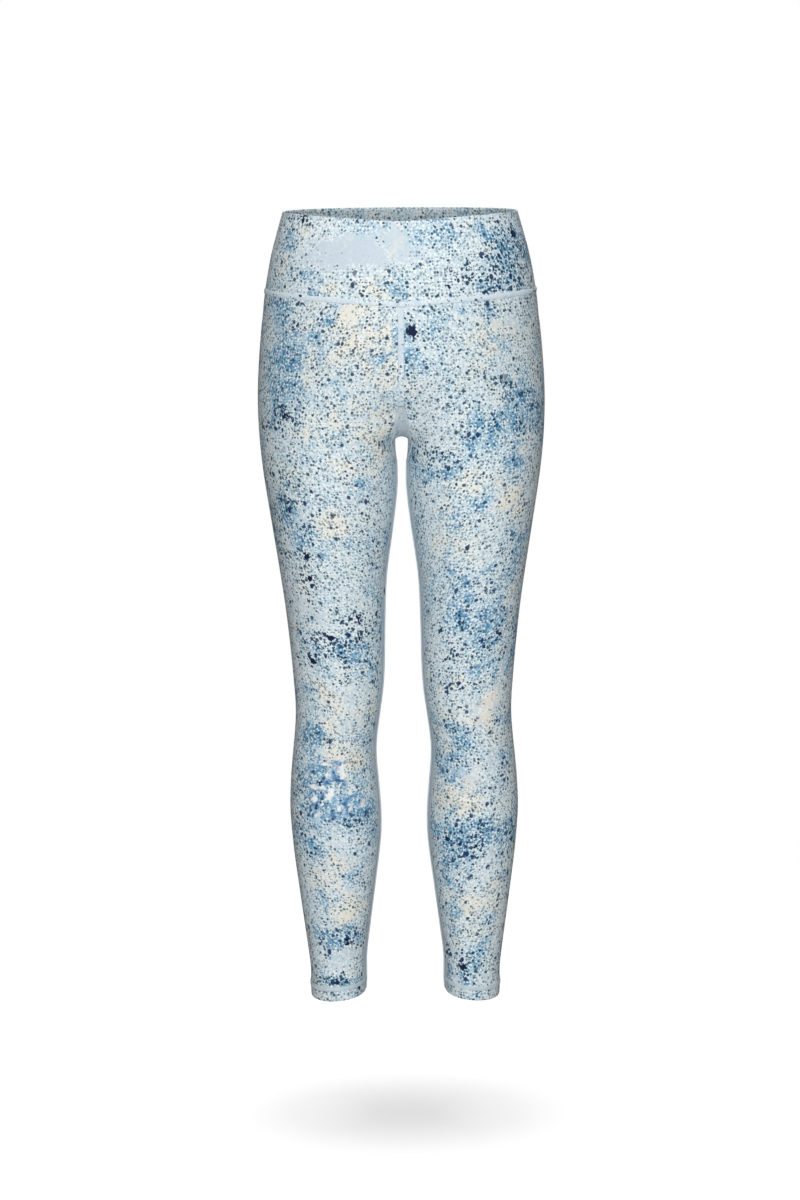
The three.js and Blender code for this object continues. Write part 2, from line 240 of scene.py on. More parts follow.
# Soft creases, pressed along the cloth's normal. A crease lies at a drop and a u, runs at an angle to
# the level row, and has a length, a width and a height, which is negative for a trough.
creaseRows = [
    # pulls that fan out from the front of the crotch
    (212, 0.075, 28, 30, 5.5, -0.9), (226, 0.105, 12, 34, 6, 0.8), (240, 0.1, -4, 26, 5, -0.7),
    (256, 0.07, -22, 24, 5, -0.5),
    # under the seat
    (252, 0.9, 8, 36, 8, -1.3), (268, 0.86, 14, 44, 9, 1.0), (286, 0.91, 6, 30, 8, -0.9),
    (236, 0.95, -14, 22, 6, 0.7),
    # in front of the knee
    (538, 0.27, 14, 24, 5, -1.1), (556, 0.22, -12, 28, 6, 0.9), (578, 0.3, 9, 28, 6, -1.0),
    (512, 0.36, 34, 30, 7, -0.8), (598, 0.38, -24, 22, 6, -0.6),
    # fine pulls below the knee, from the outer side
    (618, 0.37, 8, 24, 3.6, -0.9), (628, 0.39, 3, 26, 3.4, 0.8), (638, 0.37, -3, 24, 3.6, -0.9),
    (652, 0.2, 14, 18, 4, 1.0), (661, 0.24, 8, 18, 4, -0.9), (676, 0.33, -8, 26, 4.2, 0.8),
    (687, 0.3, -14, 24, 4.2, -0.9),
    # behind the knee
    (512, 0.78, 5, 34, 7, 0.9), (526, 0.74, -6, 40, 7, -1.5), (541, 0.79, 4, 44, 8, 1.2),
    (556, 0.73, -4, 38, 7, -1.4), (571, 0.78, 7, 34, 7, 0.8), (584, 0.75, -9, 24, 6, -0.7),
    # at the ankle
    (822, 0.3, 7, 18, 5, -0.5), (834, 0.7, -6, 26, 6, 0.6), (846, 0.72, 4, 28, 6, -0.9),
    (852, 0.24, -5, 16, 4, 0.4),
    # at the hip, under the waistband
    (108, 0.47, 20, 26, 7, -0.5), (122, 0.55, -16, 30, 7, 0.45),
]
# On the wearer's right they are turned and moved a little in turn, so that the legs aren't quite alike
creaseShape = {"bend": 0.004, "seamFade": 0.03, "turns": (-3, 4), "moves": (-4, 5, 5), "moveDown": 0.7}


def creaseAt(drop, u, mirrored):
    height = np.zeros(np.broadcast(drop, u).shape)
    across = fromGrid(gridAcross, drop, u)
    for i, (atDrop, atU, angle, length, width, rise) in enumerate(creaseRows):
        turn = math.radians(angle + (creaseShape["turns"][i % 2] if mirrored else 0))
        move = creaseShape["moves"][i % 3] if mirrored else 0
        dx = across - fromGrid(gridAcross, atDrop, atU) - move
        dy = drop - atDrop - move * creaseShape["moveDown"]
        along = dx * math.cos(turn) + dy * math.sin(turn)
        over = dy * math.cos(turn) - dx * math.sin(turn) + along * along * creaseShape["bend"]
        height += rise * np.exp(-((along / length) ** 2)) * np.exp(-((over / width) ** 2))
    # they die away at the seams, so that the halves meet
    return height * smooth(np.minimum(u, 1 - u) / creaseShape["seamFade"])


def clothPoint(drop, u, mirrored, depth=0):
    point, normal = fromGrid(gridPoints, drop, u), unit(fromGrid(gridNormals, drop, u))
    lift = creaseAt(drop, u, mirrored) - depth
    point = point + normal * lift[..., None]
    if mirrored:
        point, normal = point * (-1, 1, 1), normal * (-1, 1, 1)
    return point, normal


def frontShare(u):
    return np.where(u < 0.5, np.cos(math.pi * u) ** 2, 0)


def backShare(u):
    return np.where(u > 0.5, np.cos(math.pi * u) ** 2, 0)


def topDrop(u):
    return form["frontDip"] * frontShare(u)


def seamDrop(u):
    dip = form["seamFrontDip"] * frontShare(u) - form["seamBackRise"] * backShare(u)
    return form["waistbandDrop"] + dip


def gussetReach(drop, end):
    rise = form["forkDrop"] - drop
    if not gussetRows[0][0] - 0.01 <= rise <= gussetRows[-1][0] + 0.01:
        return 0
    start = abs(crotchPoint(drop, end) - forkY) if rise > 0 else 0
    return max(1.1, float(gussetOutAt(rise)) * (form["gussetBackShare"] if end else 1) - start)


print("form ready")


# Meshes. Points are in millimetres until they go into a mesh.
def makePiece(name, points, faces, material, uv=None, tones=None):
    mesh = bpy.data.meshes.new(name)
    mesh.from_pydata((np.asarray(points) * mm).tolist(), [], [list(map(int, face)) for face in faces])
    if uv is not None:
        corners = np.empty(len(mesh.loops), int)
        mesh.loops.foreach_get("vertex_index", corners)
        layer = mesh.uv_layers.new(name="cloth")
        layer.data.foreach_set("uv", (uv[corners] * mm).ravel())
    for tone, values in (tones or {}).items():
        mesh.attributes.new(tone, "FLOAT", "POINT").data.foreach_set("value", np.asarray(values, float))
    mesh.polygons.foreach_set("use_smooth", [True] * len(mesh.polygons))
    mesh.materials.append(material)
    piece = bpy.data.objects.new(name, mesh)
    bpy.context.scene.collection.objects.link(piece)
    return piece


def gridFaces(rows, columns, closedRows=False, closedColumns=False):
    r = np.arange(rows if closedRows else rows - 1)
    c = np.arange(columns if closedColumns else columns - 1)
    r, c = np.meshgrid(r, c, indexing="ij")
    nextR, nextC = (r + 1) % rows, (c + 1) % columns
    quads = [r * columns + c, nextR * columns + c, nextR * columns + nextC, r * columns + nextC]
    return np.stack(quads, -1).reshape(-1, 4)


# Where the tones of the print lie, in millimetres as seen from the front or from behind: x and drop of
# the middle, half width, half height and strength. They are soft patches.
frontTones = {
    "wash": [
        (122, 44, 22, 40, 0.95), (62, 20, 40, 16, 0.35), (-20, 60, 30, 14, 0.25), (-120, 60, 14, 34, 0.3),
        (-134, 170, 26, 52, 0.85), (-92, 140, 30, 26, 0.45), (8, 118, 14, 14, 0.9), (36, 150, 34, 30, 0.5),
        (134, 206, 24, 34, 0.95), (96, 236, 36, 30, 0.5), (74, 300, 34, 26, 0.3), (-60, 262, 40, 24, 0.25),
        (-120, 330, 24, 40, 0.4), (98, 372, 36, 26, 0.45), (62, 420, 30, 22, 0.5), (90, 468, 34, 36, 0.7),
        (-80, 470, 40, 26, 0.55), (-102, 560, 14, 40, 0.4), (-96, 622, 18, 30, 1.0),
        (-62, 660, 26, 20, 0.8), (66, 592, 22, 32, 0.6), (110, 560, 14, 40, 0.3), (92, 690, 36, 30, 0.85),
        (56, 716, 20, 30, 0.5), (-66, 812, 26, 18, 0.7), (-96, 770, 14, 24, 0.4), (-70, 700, 30, 30, 0.5),
        (-100, 690, 16, 40, 0.5), (62, 826, 22, 24, 0.45), (98, 800, 16, 26, 0.3), (-80, 862, 30, 10, 0.5),
    ],
    "cream": [
        (-70, 120, 44, 34, 0.8), (-28, 150, 26, 26, 0.9), (-60, 215, 40, 34, 0.6), (88, 112, 44, 24, 0.7),
        (96, 290, 40, 26, 0.8), (-64, 330, 38, 40, 0.5), (58, 330, 24, 24, 0.5), (-70, 540, 24, 44, 0.7),
        (104, 440, 20, 30, 0.5), (86, 560, 26, 40, 0.6), (62, 648, 22, 26, 0.8), (-66, 600, 18, 20, 0.5),
        (-88, 735, 26, 36, 0.6), (100, 750, 22, 40, 0.6), (74, 778, 22, 18, 0.6), (-70, 780, 24, 20, 0.6),
        (100, 30, 14, 14, 0.4), (-30, 236, 24, 20, 0.5), (-25, 78, 20, 14, 0.9), (98, 180, 26, 30, 0.5),
    ],
    "ink": [
        (112, 40, 30, 34, 0.9), (58, 62, 30, 24, 0.45), (96, 74, 30, 14, 0.5), (-110, 20, 26, 18, 0.4),
        (-128, 218, 20, 18, 1.0), (-112, 96, 20, 24, 0.5), (12, 120, 12, 16, 0.8), (60, 190, 30, 26, 0.5),
        (40, 262, 30, 20, 0.6), (128, 208, 24, 24, 0.7), (-130, 300, 22, 40, 0.6),
        (-118, 360, 22, 34, 0.5), (-82, 466, 42, 26, 0.75), (-50, 440, 18, 20, 0.7),
        (-100, 400, 20, 30, 0.4), (84, 462, 40, 40, 0.6), (50, 520, 18, 40, 0.5), (66, 580, 20, 20, 0.5),
        (-60, 668, 24, 14, 1.0), (-98, 640, 12, 12, 0.8), (92, 694, 36, 24, 0.7), (56, 700, 18, 16, 0.6),
        (-58, 812, 20, 14, 1.0), (-78, 862, 30, 10, 0.7), (80, 850, 30, 18, 0.5), (-96, 830, 14, 20, 0.4),
        (54, 840, 16, 24, 0.5),
    ],
    "bare": [
        (-62, 40, 40, 22, 0.85), (-20, 18, 30, 10, 0.5), (10, 40, 26, 16, 0.55), (-80, 250, 30, 16, 0.35),
        (-60, 112, 26, 14, 0.3), (90, 116, 40, 16, 0.4), (-66, 540, 24, 34, 0.4), (-66, 735, 30, 34, 0.3),
        (76, 615, 26, 22, 0.5), (76, 775, 30, 26, 0.3), (92, 530, 26, 30, 0.4), (-100, 420, 18, 60, 0.3),
        (110, 300, 24, 20, 0.4), (-88, 690, 22, 20, 0.3), (-76, 830, 26, 18, 0.4),
    ],
    # where the foil smear lies, on which white glints are painted
    "foilWithPaintedGlint": [
        (-82, 618, 18, 26, 1.0), (-64, 658, 26, 17, 1.0), (-96, 636, 12, 28, 0.7), (60, 622, 14, 12, 0.6),
    ],
}
backTones = {
    "wash": [
        (-80, 40, 40, 26, 0.6), (64, 52, 34, 20, 0.4), (100, 160, 40, 46, 0.8), (-60, 190, 46, 30, 0.5),
        (-120, 250, 26, 44, 0.7), (40, 240, 30, 30, 0.3), (90, 330, 38, 34, 0.6), (-80, 380, 40, 40, 0.45),
        (70, 450, 30, 26, 0.7), (-96, 500, 26, 40, 0.6), (96, 570, 30, 44, 0.4), (-70, 640, 36, 34, 0.9),
        (80, 700, 34, 30, 0.75), (-88, 760, 24, 30, 0.4), (66, 820, 26, 24, 0.6),
    ],
    "cream": [
        (30, 120, 50, 34, 0.7), (-80, 130, 40, 30, 0.6), (70, 250, 40, 30, 0.7), (-60, 300, 40, 36, 0.6),
        (90, 410, 34, 36, 0.6), (-80, 450, 30, 30, 0.7), (70, 520, 26, 30, 0.8), (-90, 590, 26, 30, 0.6),
        (80, 640, 28, 26, 0.7), (-80, 710, 30, 30, 0.7), (80, 770, 24, 30, 0.7),
    ],
    "ink": [
        (-84, 46, 30, 24, 0.7), (100, 150, 36, 30, 0.7), (-116, 240, 26, 34, 0.8), (60, 330, 40, 30, 0.6),
        (-70, 400, 40, 30, 0.6), (74, 460, 34, 26, 0.9), (-90, 520, 22, 34, 0.6), (96, 600, 24, 40, 0.5),
        (-64, 650, 34, 26, 0.9), (84, 710, 30, 24, 0.8), (66, 830, 30, 18, 0.6), (-84, 850, 30, 18, 0.6),
    ],
    "bare": [
        (30, 40, 44, 18, 0.8), (-40, 130, 40, 20, 0.5), (80, 260, 30, 24, 0.4), (-70, 450, 26, 26, 0.5),
        (80, 540, 24, 24, 0.5), (-80, 700, 26, 26, 0.5),
    ],
    # where the foil smear lies, on which white glints are painted
    "foilWithPaintedGlint": [
        (-70, 642, 20, 20, 0.6),
    ],
}


def toneValues(points, tone):
    x, y, z = points.T
    # front and back blend into each other over 50 mm at the sides
    facing = smooth((y - forkY) / 50 + 0.5)
    total = np.zeros(len(x))
    for tones, share in ((frontTones, 1 - facing), (backTones, facing)):
        for atX, atDrop, halfWidth, halfHeight, strength in tones[tone]:
            reach = ((x - atX) / halfWidth) ** 2 + ((z + atDrop) / halfHeight) ** 2
            total += share * strength * np.exp(-reach * 0.8)
    return np.clip(total, 0, 1)


def tonesOf(points, inside, strip=0.0):
    tones = {tone: toneValues(points, tone) for tone in frontTones}
    tones["inside"] = inside
    tones["strip"] = np.zeros(len(points)) + strip
    return tones


# Materials
class Shader:
    def __init__(self, name):
        self.material = bpy.data.materials.new(name)
        self.material.use_nodes = True
        self.tree = self.material.node_tree
        self.surface = self.tree.nodes["Principled BSDF"]

    def node(self, kind, inputs=None, **settings):
        node = self.tree.nodes.new("ShaderNode" + kind)
        for key, value in settings.items():
            setattr(node, key, value)
        for key, value in (inputs or {}).items():
            self.feed(node.inputs[key], value)
        return node

    def feed(self, socket, value):
        if isinstance(value, bpy.types.NodeSocket):
            self.tree.links.new(value, socket)
        else:
            socket.default_value = value

    def math(self, operation, *values, clamp=False):
        node = self.node("Math", operation=operation, use_clamp=clamp)
        for socket, value in zip(node.inputs, values):
            self.feed(socket, value)
        return node.outputs[0]

    def times(self, first, second):
        return self.math("MULTIPLY", first, second)

    def plus(self, first, second):
        return self.math("ADD", first, second)

    def minus(self, first, second, clamp=False):
        return self.math("SUBTRACT", first, second, clamp=clamp)

    def mix(self, share, first, second):
        node = self.node("Mix", data_type="RGBA")
        for at, value in ((0, share), (6, first), (7, second)):
            self.feed(node.inputs[at], value)
        return node.outputs[2]

    def soft(self, value, low, high, toLow=0.0, toHigh=1.0):
        settings = {"Value": value, "From Min": low, "From Max": high, "To Min": toLow, "To Max": toHigh}
        return self.node("MapRange", settings, interpolation_type="SMOOTHSTEP").outputs["Result"]

    def attribute(self, name):
        return self.node("Attribute", attribute_name=name).outputs["Fac"]

    def noise(self, vector, scale, detail=2.0, roughness=0.5):
        inputs = {"Vector": vector, "Scale": scale, "Detail": detail, "Roughness": roughness}
        return self.node("TexNoise", inputs)

    def cells(self, vector, scale):
        node = self.node("TexVoronoi", {"Vector": vector, "Scale": scale}, voronoi_dimensions="2D")
        split = self.node("SeparateColor", {"Color": node.outputs["Color"]})
        return node.outputs["Distance"], split.outputs

    def shift(self, vector, offset):
        return self.node("VectorMath", {0: vector, 1: offset}, operation="ADD").outputs[0]

    def stretch(self, vector, factors):
        return self.node("VectorMath", {0: vector, 1: factors}, operation="MULTIPLY").outputs[0]

    def length(self, vector):
        return self.node("VectorMath", {0: vector}, operation="LENGTH").outputs["Value"]

    def bump(self, height, distance, strength):
        node = self.node("Bump", {"Height": height, "Distance": distance, "Strength": strength})
        return node.outputs["Normal"]

    def finish(self, **values):
        for key, value in values.items():
            self.feed(self.surface.inputs[key.replace("_", " ")], value)
        return self.material


def colour(text):
    parts = [int(text[i:i + 2], 16) / 255 for i in (1, 3, 5)]
    return tuple(p / 12.92 if p < 0.04045 else ((p + 0.055) / 1.055) ** 2.4 for p in parts) + (1.0,)


printLook = {
    "ground": "#d3e3ea", "cream": "#ebe8db", "wash": "#9ccbe1", "deepWash": "#4b90b9",
    "plain": "#c8d6e0", "strip": "#d7e4ed", "pebble": "#f2f7f7", "lining": "#e3e9ec",
    "teal": "#33697a", "slate": "#184a60", "blue": "#1f628f", "navy": "#0c3160", "night": "#081f42",
    # foil is the white of the glints painted on the foil smear, standing in for its shine
    "smearBlue": "#90c2e1", "smearDeep": "#265f95", "foilWithPaintedGlint": "#fafcfe", "smearSize": 0.011,
    "flurrySize": 0.012, "wobble": 0.0012, "blotchWobble": 0.012,
    "roughness": 0.72, "foilRoughness": 0.26, "knitPitch": 0.0007, "knitDepth": 0.00005,
}
# Each tone's clouds: where the noise is taken from, its size, how much the tables above add to it, and
# the values between which the tone sets in
cloudLook = {
    "bare": ((6.3, 4.1, 0), 0.042, 0.42, 0.5, 0.9),
    "wash": ((0, 0, 0), 0.042, 0.21, 0.48, 0.7),
    "cream": ((9.2, 2.6, 0), 0.042, 0.24, 0.53, 0.74),
    "ink": ((5.5, 8.4, 0), 0.0231, 0.27, 0.58, 0.76),
}
# Spots on a loose grid, one in each cell, there or not by chance: where the grid is taken from, cell
# size, least and greatest radius in cells, softness of the edge
spotLook = {
    "pebble": {"offset": (0.7, 0.2, 0), "size": 0.0036, "radius": (0.3, 0.42), "blur": 0.05},
    "grain": {"offset": (2.2, 5.1, 0), "size": 0.0028, "radius": (0.2, 0.36), "blur": 0.05},
    "dot": {"offset": (0, 0, 0), "size": 0.0036, "radius": (0.17, 0.43), "blur": 0.05},
    "drop": {"offset": (1.3, 2.9, 0), "size": 0.0064, "radius": (0.13, 0.33), "blur": 0.03},
    "oval": {
        "offset": (4.9, 6.2, 0), "size": 0.0105, "radius": (0.1, 0.28), "blur": 0.02,
        "stretch": (1.25, 0.85, 1),
    },
    "blotch": {"offset": (4.4, 0.8, 0), "size": 0.024, "radius": (0.1, 0.24), "blur": 0.015},
    "hole": {"offset": (8.1, 3.3, 0), "size": 0.0064, "radius": (0.2, 0.3), "blur": 0.05},
}


def spots(s, place, kind, chance):
    look = spotLook[kind]
    place = s.shift(place, look["offset"])
    if "stretch" in look:
        place = s.stretch(place, look["stretch"])
    way, dice = s.cells(place, 1 / look["size"])
    edge = s.minus(s.soft(dice["Red"], 0.0, 1.0, *look["radius"]), way)
    there = s.soft(s.minus(chance, dice["Green"]), -0.02, 0.03)
    return s.times(s.soft(edge, -look["blur"], look["blur"]), there), dice["Blue"]


def makePrint(name):
    look = printLook
    tint = {key: colour(value) for key, value in look.items() if isinstance(value, str)}
    s = Shader(name)
    uv = s.node("UVMap", uv_map="cloth").outputs["UV"]
    wobble = s.shift(s.noise(uv, 240, 1.0).outputs["Color"], (-0.5, -0.5, -0.5))
    place = s.shift(uv, s.stretch(wobble, [look["wobble"]] * 3))

    # where each tone is: uneven clouds, thicker where the tables of tones say
    def patches(tone):
        offset, size, pull, low, high = cloudLook[tone]
        cloud = s.noise(s.shift(uv, offset), 1 / size, 5.0, 0.62).outputs["Fac"]
        return s.soft(s.plus(cloud, s.times(s.attribute(tone), pull)), low, high)

    def cover(under, over, mask, share=None):
        return s.mix(mask if share is None else s.times(mask, share), under, over)

    flurry = s.noise(s.shift(uv, (3.1, 1.7, 0)), 1 / look["flurrySize"], 3.0, 0.65).outputs["Fac"]
    flurry = s.soft(flurry, 0.34, 0.66)
    strip = s.attribute("strip")
    bare = s.math("MAXIMUM", patches("bare"), strip)
    wash = s.minus(patches("wash"), s.times(bare, 0.75), clamp=True)
    cream = s.minus(patches("cream"), strip, clamp=True)
    ink = patches("ink")
    thick = s.plus(s.plus(s.times(flurry, 0.45), s.times(wash, 0.3)), 0.42)
    thick = s.minus(thick, s.times(bare, 0.8), clamp=True)

    shown = s.mix(bare, tint["ground"], tint["plain"])
    shown = cover(shown, tint["cream"], cream)
    shown = cover(shown, tint["strip"], strip)
    shown = cover(shown, tint["wash"], wash, s.soft(flurry, 0, 1, 0.55, 1.0))
    deep = s.times(s.soft(wash, 0.45, 1.0), flurry)
    shown = cover(shown, tint["deepWash"], deep, 0.85)
    pebble, _ = spots(s, place, "pebble", 0.85)
    shown = cover(shown, tint["pebble"], pebble, s.soft(bare, 0.3, 0.95, 0.8, 0.1))

    # fine spots are teal in some places and blue in others, and darker where there is ink
    blueness = s.soft(s.noise(s.shift(uv, (1.1, 7.7, 0)), 9, 2.0).outputs["Fac"], 0.4, 0.6)
    blueness = s.math("MAXIMUM", s.soft(wash, 0.1, 0.6), s.times(blueness, 0.45))
    fine = s.mix(blueness, tint["teal"], tint["blue"])
    grain, hue = spots(s, place, "grain", s.times(thick, 0.6))
    shown = cover(shown, fine, grain, s.soft(hue, 0, 1, 0.3, 0.75))
    dot, hue = spots(s, place, "dot", s.times(thick, 1.1))
    dark = s.soft(s.plus(hue, s.times(ink, 0.5)), 0.45, 1.0)
    shown = cover(shown, s.mix(dark, fine, tint["slate"]), dot, s.soft(dark, 0, 1, 0.6, 0.97))
    drop, hue = spots(s, place, "drop", s.plus(s.times(thick, 0.2), s.times(ink, 0.85)))
    shown = cover(shown, s.mix(hue, tint["slate"], tint["navy"]), drop, 0.92)
    oval, _ = spots(s, place, "oval", s.plus(s.times(thick, 0.05), s.times(ink, 0.6)))
    shown = cover(shown, tint["navy"], oval, 0.95)

    # a few ragged blotches, some with a hole
    ragged = s.shift(uv, s.stretch(wobble, [look["blotchWobble"]] * 3))
    blotch, _ = spots(s, ragged, "blotch", s.times(ink, 0.5))
    hole, _ = spots(s, place, "hole", 0.3)
    shown = cover(shown, tint["night"], blotch, s.minus(1.0, hole))

    # a smear of bright paint and foil; the foil's shine is painted into the colour as white glints
    slant = s.stretch(s.shift(uv, (7.7, 3.3, 0)), (0.85, 1.1, 1))
    swirl = s.noise(slant, 1 / look["smearSize"], 4.0, 0.6).outputs["Fac"]
    smear = s.soft(s.plus(s.attribute("foilWithPaintedGlint"), s.times(flurry, 0.45)), 0.5, 1.0)
    blueSmear = s.times(smear, s.soft(swirl, 0.42, 0.54, 0.95, 0.0))
    blueSmear = s.minus(blueSmear, s.times(drop, 0.85), clamp=True)
    paint = s.mix(s.soft(swirl, 0.34, 0.5), tint["smearDeep"], tint["smearBlue"])
    shown = cover(shown, paint, blueSmear)
    # painted glints: white flecks in the colour stand in for light shining off the foil
    glint = s.noise(s.shift(place, (2.8, 9.4, 0)), 0.8 / look["smearSize"], 2.0, 0.5).outputs["Fac"]
    foilWithPaintedGlint = s.times(smear, s.soft(glint, 0.5, 0.64))
    shown = cover(shown, tint["foilWithPaintedGlint"], foilWithPaintedGlint)

    # inside, the print is paler
    shown = cover(shown, tint["lining"], s.attribute("inside"), 0.3)
    roughness = s.soft(foilWithPaintedGlint, 0.1, 0.8, look["roughness"], look["foilRoughness"])

    weave = {"Vector": uv, "Scale": 0.32 / look["knitPitch"], "Distortion": 1.5, "Detail": 1.0}
    wales = s.node("TexWave", weave).outputs["Fac"]
    loops = s.noise(uv, 1 / look["knitPitch"], 1.0).outputs["Fac"]
    height = s.plus(s.times(wales, 0.5), loops)
    s.surface.inputs["Sheen Weight"].default_value = 0.03
    s.surface.inputs["Sheen Roughness"].default_value = 0.5
    s.surface.inputs["Specular IOR Level"].default_value = 0.22
    return s.finish(Base_Color=shown, Roughness=roughness, Normal=s.bump(height, look["knitDepth"], 0.6))


threadLook = {"colour": "#d6e0e6", "shade": "#bccbd6", "roughness": 0.6, "twist": 0.0009, "depth": 0.00006}


def makeThread(name):
    look = threadLook
    s = Shader(name)
    place = s.node("TexCoord").outputs["Object"]
    mottle = s.soft(s.noise(place, 180, 3.0).outputs["Fac"], 0.35, 0.65)
    grain = s.noise(place, 1 / look["twist"], 2.0).outputs["Fac"]
    share = s.plus(s.times(mottle, 0.5), s.times(grain, 0.4))
    base = s.mix(share, colour(look["colour"]), colour(look["shade"]))
    s.surface.inputs["Sheen Weight"].default_value = 0.1
    s.surface.inputs["Roughness"].default_value = look["roughness"]
    return s.finish(Base_Color=base, Normal=s.bump(grain, look["depth"], 0.7))


printedKnit = makePrint("printed knit")
gussetKnit = makePrint("gusset knit")  # a copy of its own, to be changed by itself
seamThread = makeThread("seam thread")
print("materials ready")


# A closed loop of cloth. Rows go down the outside, round the fold and up the inside. Each has its points,
# their places across and down the cloth, and whether it is on the inside.
def shellOf(rows):
    points, across, down = (np.concatenate([row[k] for row in rows]) for k in range(3))
    inside = np.concatenate([np.full(len(row[0]), float(row[3])) for row in rows])
    count, columns = len(rows), len(rows[0][0])
    faces = gridFaces(count, columns, closedRows=True).tolist()
    for column in (0, columns - 1):
        for i in range(count // 2 - 1):
            j = count - 1 - i
            ring = [k * columns + column for k in (i, i + 1, j - 1, j)]
            faces.append(ring[::-1] if column == 0 else ring)
    return points, faces, np.stack([across, down], 1), tonesOf(points, inside)


def foldRows(outer, inner, up, halfWall, steps):
    rows = []
    middle, side = (outer + inner) / 2, (outer - inner) / 2
    for i in range(1, steps):
        angle = math.pi * i / steps
        rows.append(middle + side * math.cos(angle) + up * halfWall * math.sin(angle))
    return rows


# rows lie closer at the crotch; the plain strip runs down beside the inseam
legCloth = {
    "wall": 1.2, "hemWall": 2.2, "hemFold": 1.1, "hemEdge": 0.5, "foldSteps": 7, "columns": 112,
    "rowStep": 3.3, "fineStep": 0.9, "fineFrom": 238, "fineTo": 256, "uvShift": 400,
    "stripWidth": 2.6, "stripFrom": 262, "stripFade": 30,
}


def makeLeg(name, mirrored):
    size, gap = legCloth, form["seamGap"] / 2
    crotchTop = form["forkDrop"] - form["riseHeight"]
    hemTop, hemEnd = form["hemDrop"] - form["hemHeight"], form["hemDrop"] - size["hemFold"]
    edge = size["hemEdge"]
    levels = np.concatenate([
        np.arange(crotchTop, size["fineFrom"], size["rowStep"]),
        np.arange(size["fineFrom"], size["fineTo"], size["fineStep"]),
        np.arange(size["fineTo"], hemTop - edge, size["rowStep"]),
        [hemTop - edge, hemTop, hemTop + edge], np.linspace(hemTop + 3, hemEnd, 6),
    ])
    drops, shares = [], []
    bodyCount = int((crotchTop - form["waistbandDrop"]) / size["rowStep"])
    for r in range(bodyCount):
        share = r / bodyCount
        level = form["waistbandDrop"] + (crotchTop - form["waistbandDrop"]) * share
        u = np.linspace(partAlong(level, gap, False), partAlong(level, gap, True), size["columns"])
        shares.append(u)
        drops.append((seamDrop(u) + gap) * (1 - share) + crotchTop * share)
    for level in levels:
        start = partAlong(level, gussetReach(level, 0) + gap, False)
        end = partAlong(level, gussetReach(level, 1) + gap, True)
        shares.append(np.linspace(start, end, size["columns"]))
        drops.append(np.full(size["columns"], level))
    drops, shares = np.array(drops), np.array(shares)
    walls = np.where(drops > hemTop, size["hemWall"], size["wall"])
    outer, _ = clothPoint(drops, shares, mirrored)
    inner, _ = clothPoint(drops, shares, mirrored, walls)
    across = fromGrid(gridAcross, drops, shares)
    if mirrored:
        across = size["uvShift"] - across
    fold = foldRows(outer[-1], inner[-1], np.array([0, 0, -1.0]), size["hemFold"], size["foldSteps"])
    arc = math.pi * size["hemFold"]
    rows = [(p, a, -d, False) for p, a, d in zip(outer, across, drops)]
    for i, p in enumerate(fold):
        rows.append((p, across[-1], -drops[-1] - arc * (i + 1) / size["foldSteps"], False))
    for p, a, d in zip(inner[::-1], across[::-1], drops[::-1]):
        rows.append((p, a, d - 2 * drops[-1] - arc, d[0] <= hemTop))
    points, faces, uv, tones = shellOf(rows)
    # the print stops short of the inseam
    innerEdge = np.interp(-points[:, 2], levels, np.abs(outer[bodyCount:, 0, 0]))
    aside = (np.abs(points[:, 0]) - innerEdge) / size["stripWidth"]
    below = smooth((-points[:, 2] - size["stripFrom"]) / size["stripFade"])
    tones["strip"] = smooth((1.25 - aside) / 0.4) * below
    if mirrored:
        faces = [face[::-1] for face in faces]
    return makePiece(name, points, faces, printedKnit, uv, tones)


bandCloth = {
    "wall": 2.4, "rows": 28, "columns": 150, "foldSteps": 7, "cutAt": 45, "joinGap": 0.02,
    "uvShift": 900,
}


def makeBand(name):
    size, gap = bandCloth, form["seamGap"] / 2
    halfWall = size["wall"] / 2
    shares = np.linspace(0, 1, size["rows"])
    us = np.linspace(0, partAlong(size["cutAt"], size["joinGap"], True), size["columns"])
    arc = math.pi * halfWall
    rows = []
    for mirrored in (False, True):
        top, bottom = topDrop(us) + halfWall, seamDrop(us) - gap
        drops = top + (bottom - top) * shares[:, None]
        u = np.broadcast_to(us, drops.shape)
        outer, _ = clothPoint(drops, u, mirrored)
        inner, _ = clothPoint(drops, u, mirrored, np.full(drops.shape, size["wall"]))
        across = fromGrid(gridLengths, np.full(drops.shape, size["cutAt"]), u)
        fold = foldRows(inner[0], outer[0], np.array([0, 0, 1.0]), halfWall, size["foldSteps"])
        # from the seam up the inside, over the fold and down the outside
        loop = list(inner[::-1]) + fold + list(outer)
        acrossLoop = list(across[::-1]) + [across[0]] * len(fold) + list(across)
        foldDown = [arc * (1 - (i + 1) / size["foldSteps"]) - drops[0] for i in range(len(fold))]
        downLoop = list((drops - 2 * drops[0] + arc)[::-1]) + foldDown + list(-drops)
        half = list(zip(loop, acrossLoop, downLoop))
        # the mirrored half goes in front, turned round, without the points that both halves share
        rows = [
            [np.concatenate([sign * new[1:][::-1], old]) for sign, new, old in zip((1, -1, 1), *pair)]
            for pair in zip(half, rows)
        ] if mirrored else half
    points, faces, uv, tones = shellOf([(p, a + size["uvShift"], d, False) for p, a, d in rows])
    return makePiece(name, points, faces, printedKnit, uv, tones)


gussetTop, gussetFoot = form["forkDrop"] - gussetRows[-1][0], form["forkDrop"] - gussetRows[0][0]
gussetCloth = {
    "wall": 1.2, "columns": 9, "gap": 0.6, "rowStep": 2.2, "fineStep": 0.8, "fineFrom": 240, "fineTo": 256,
    "mergeWithin": 0.05, "uvStretch": 0.8, "pale": 0.62,
}


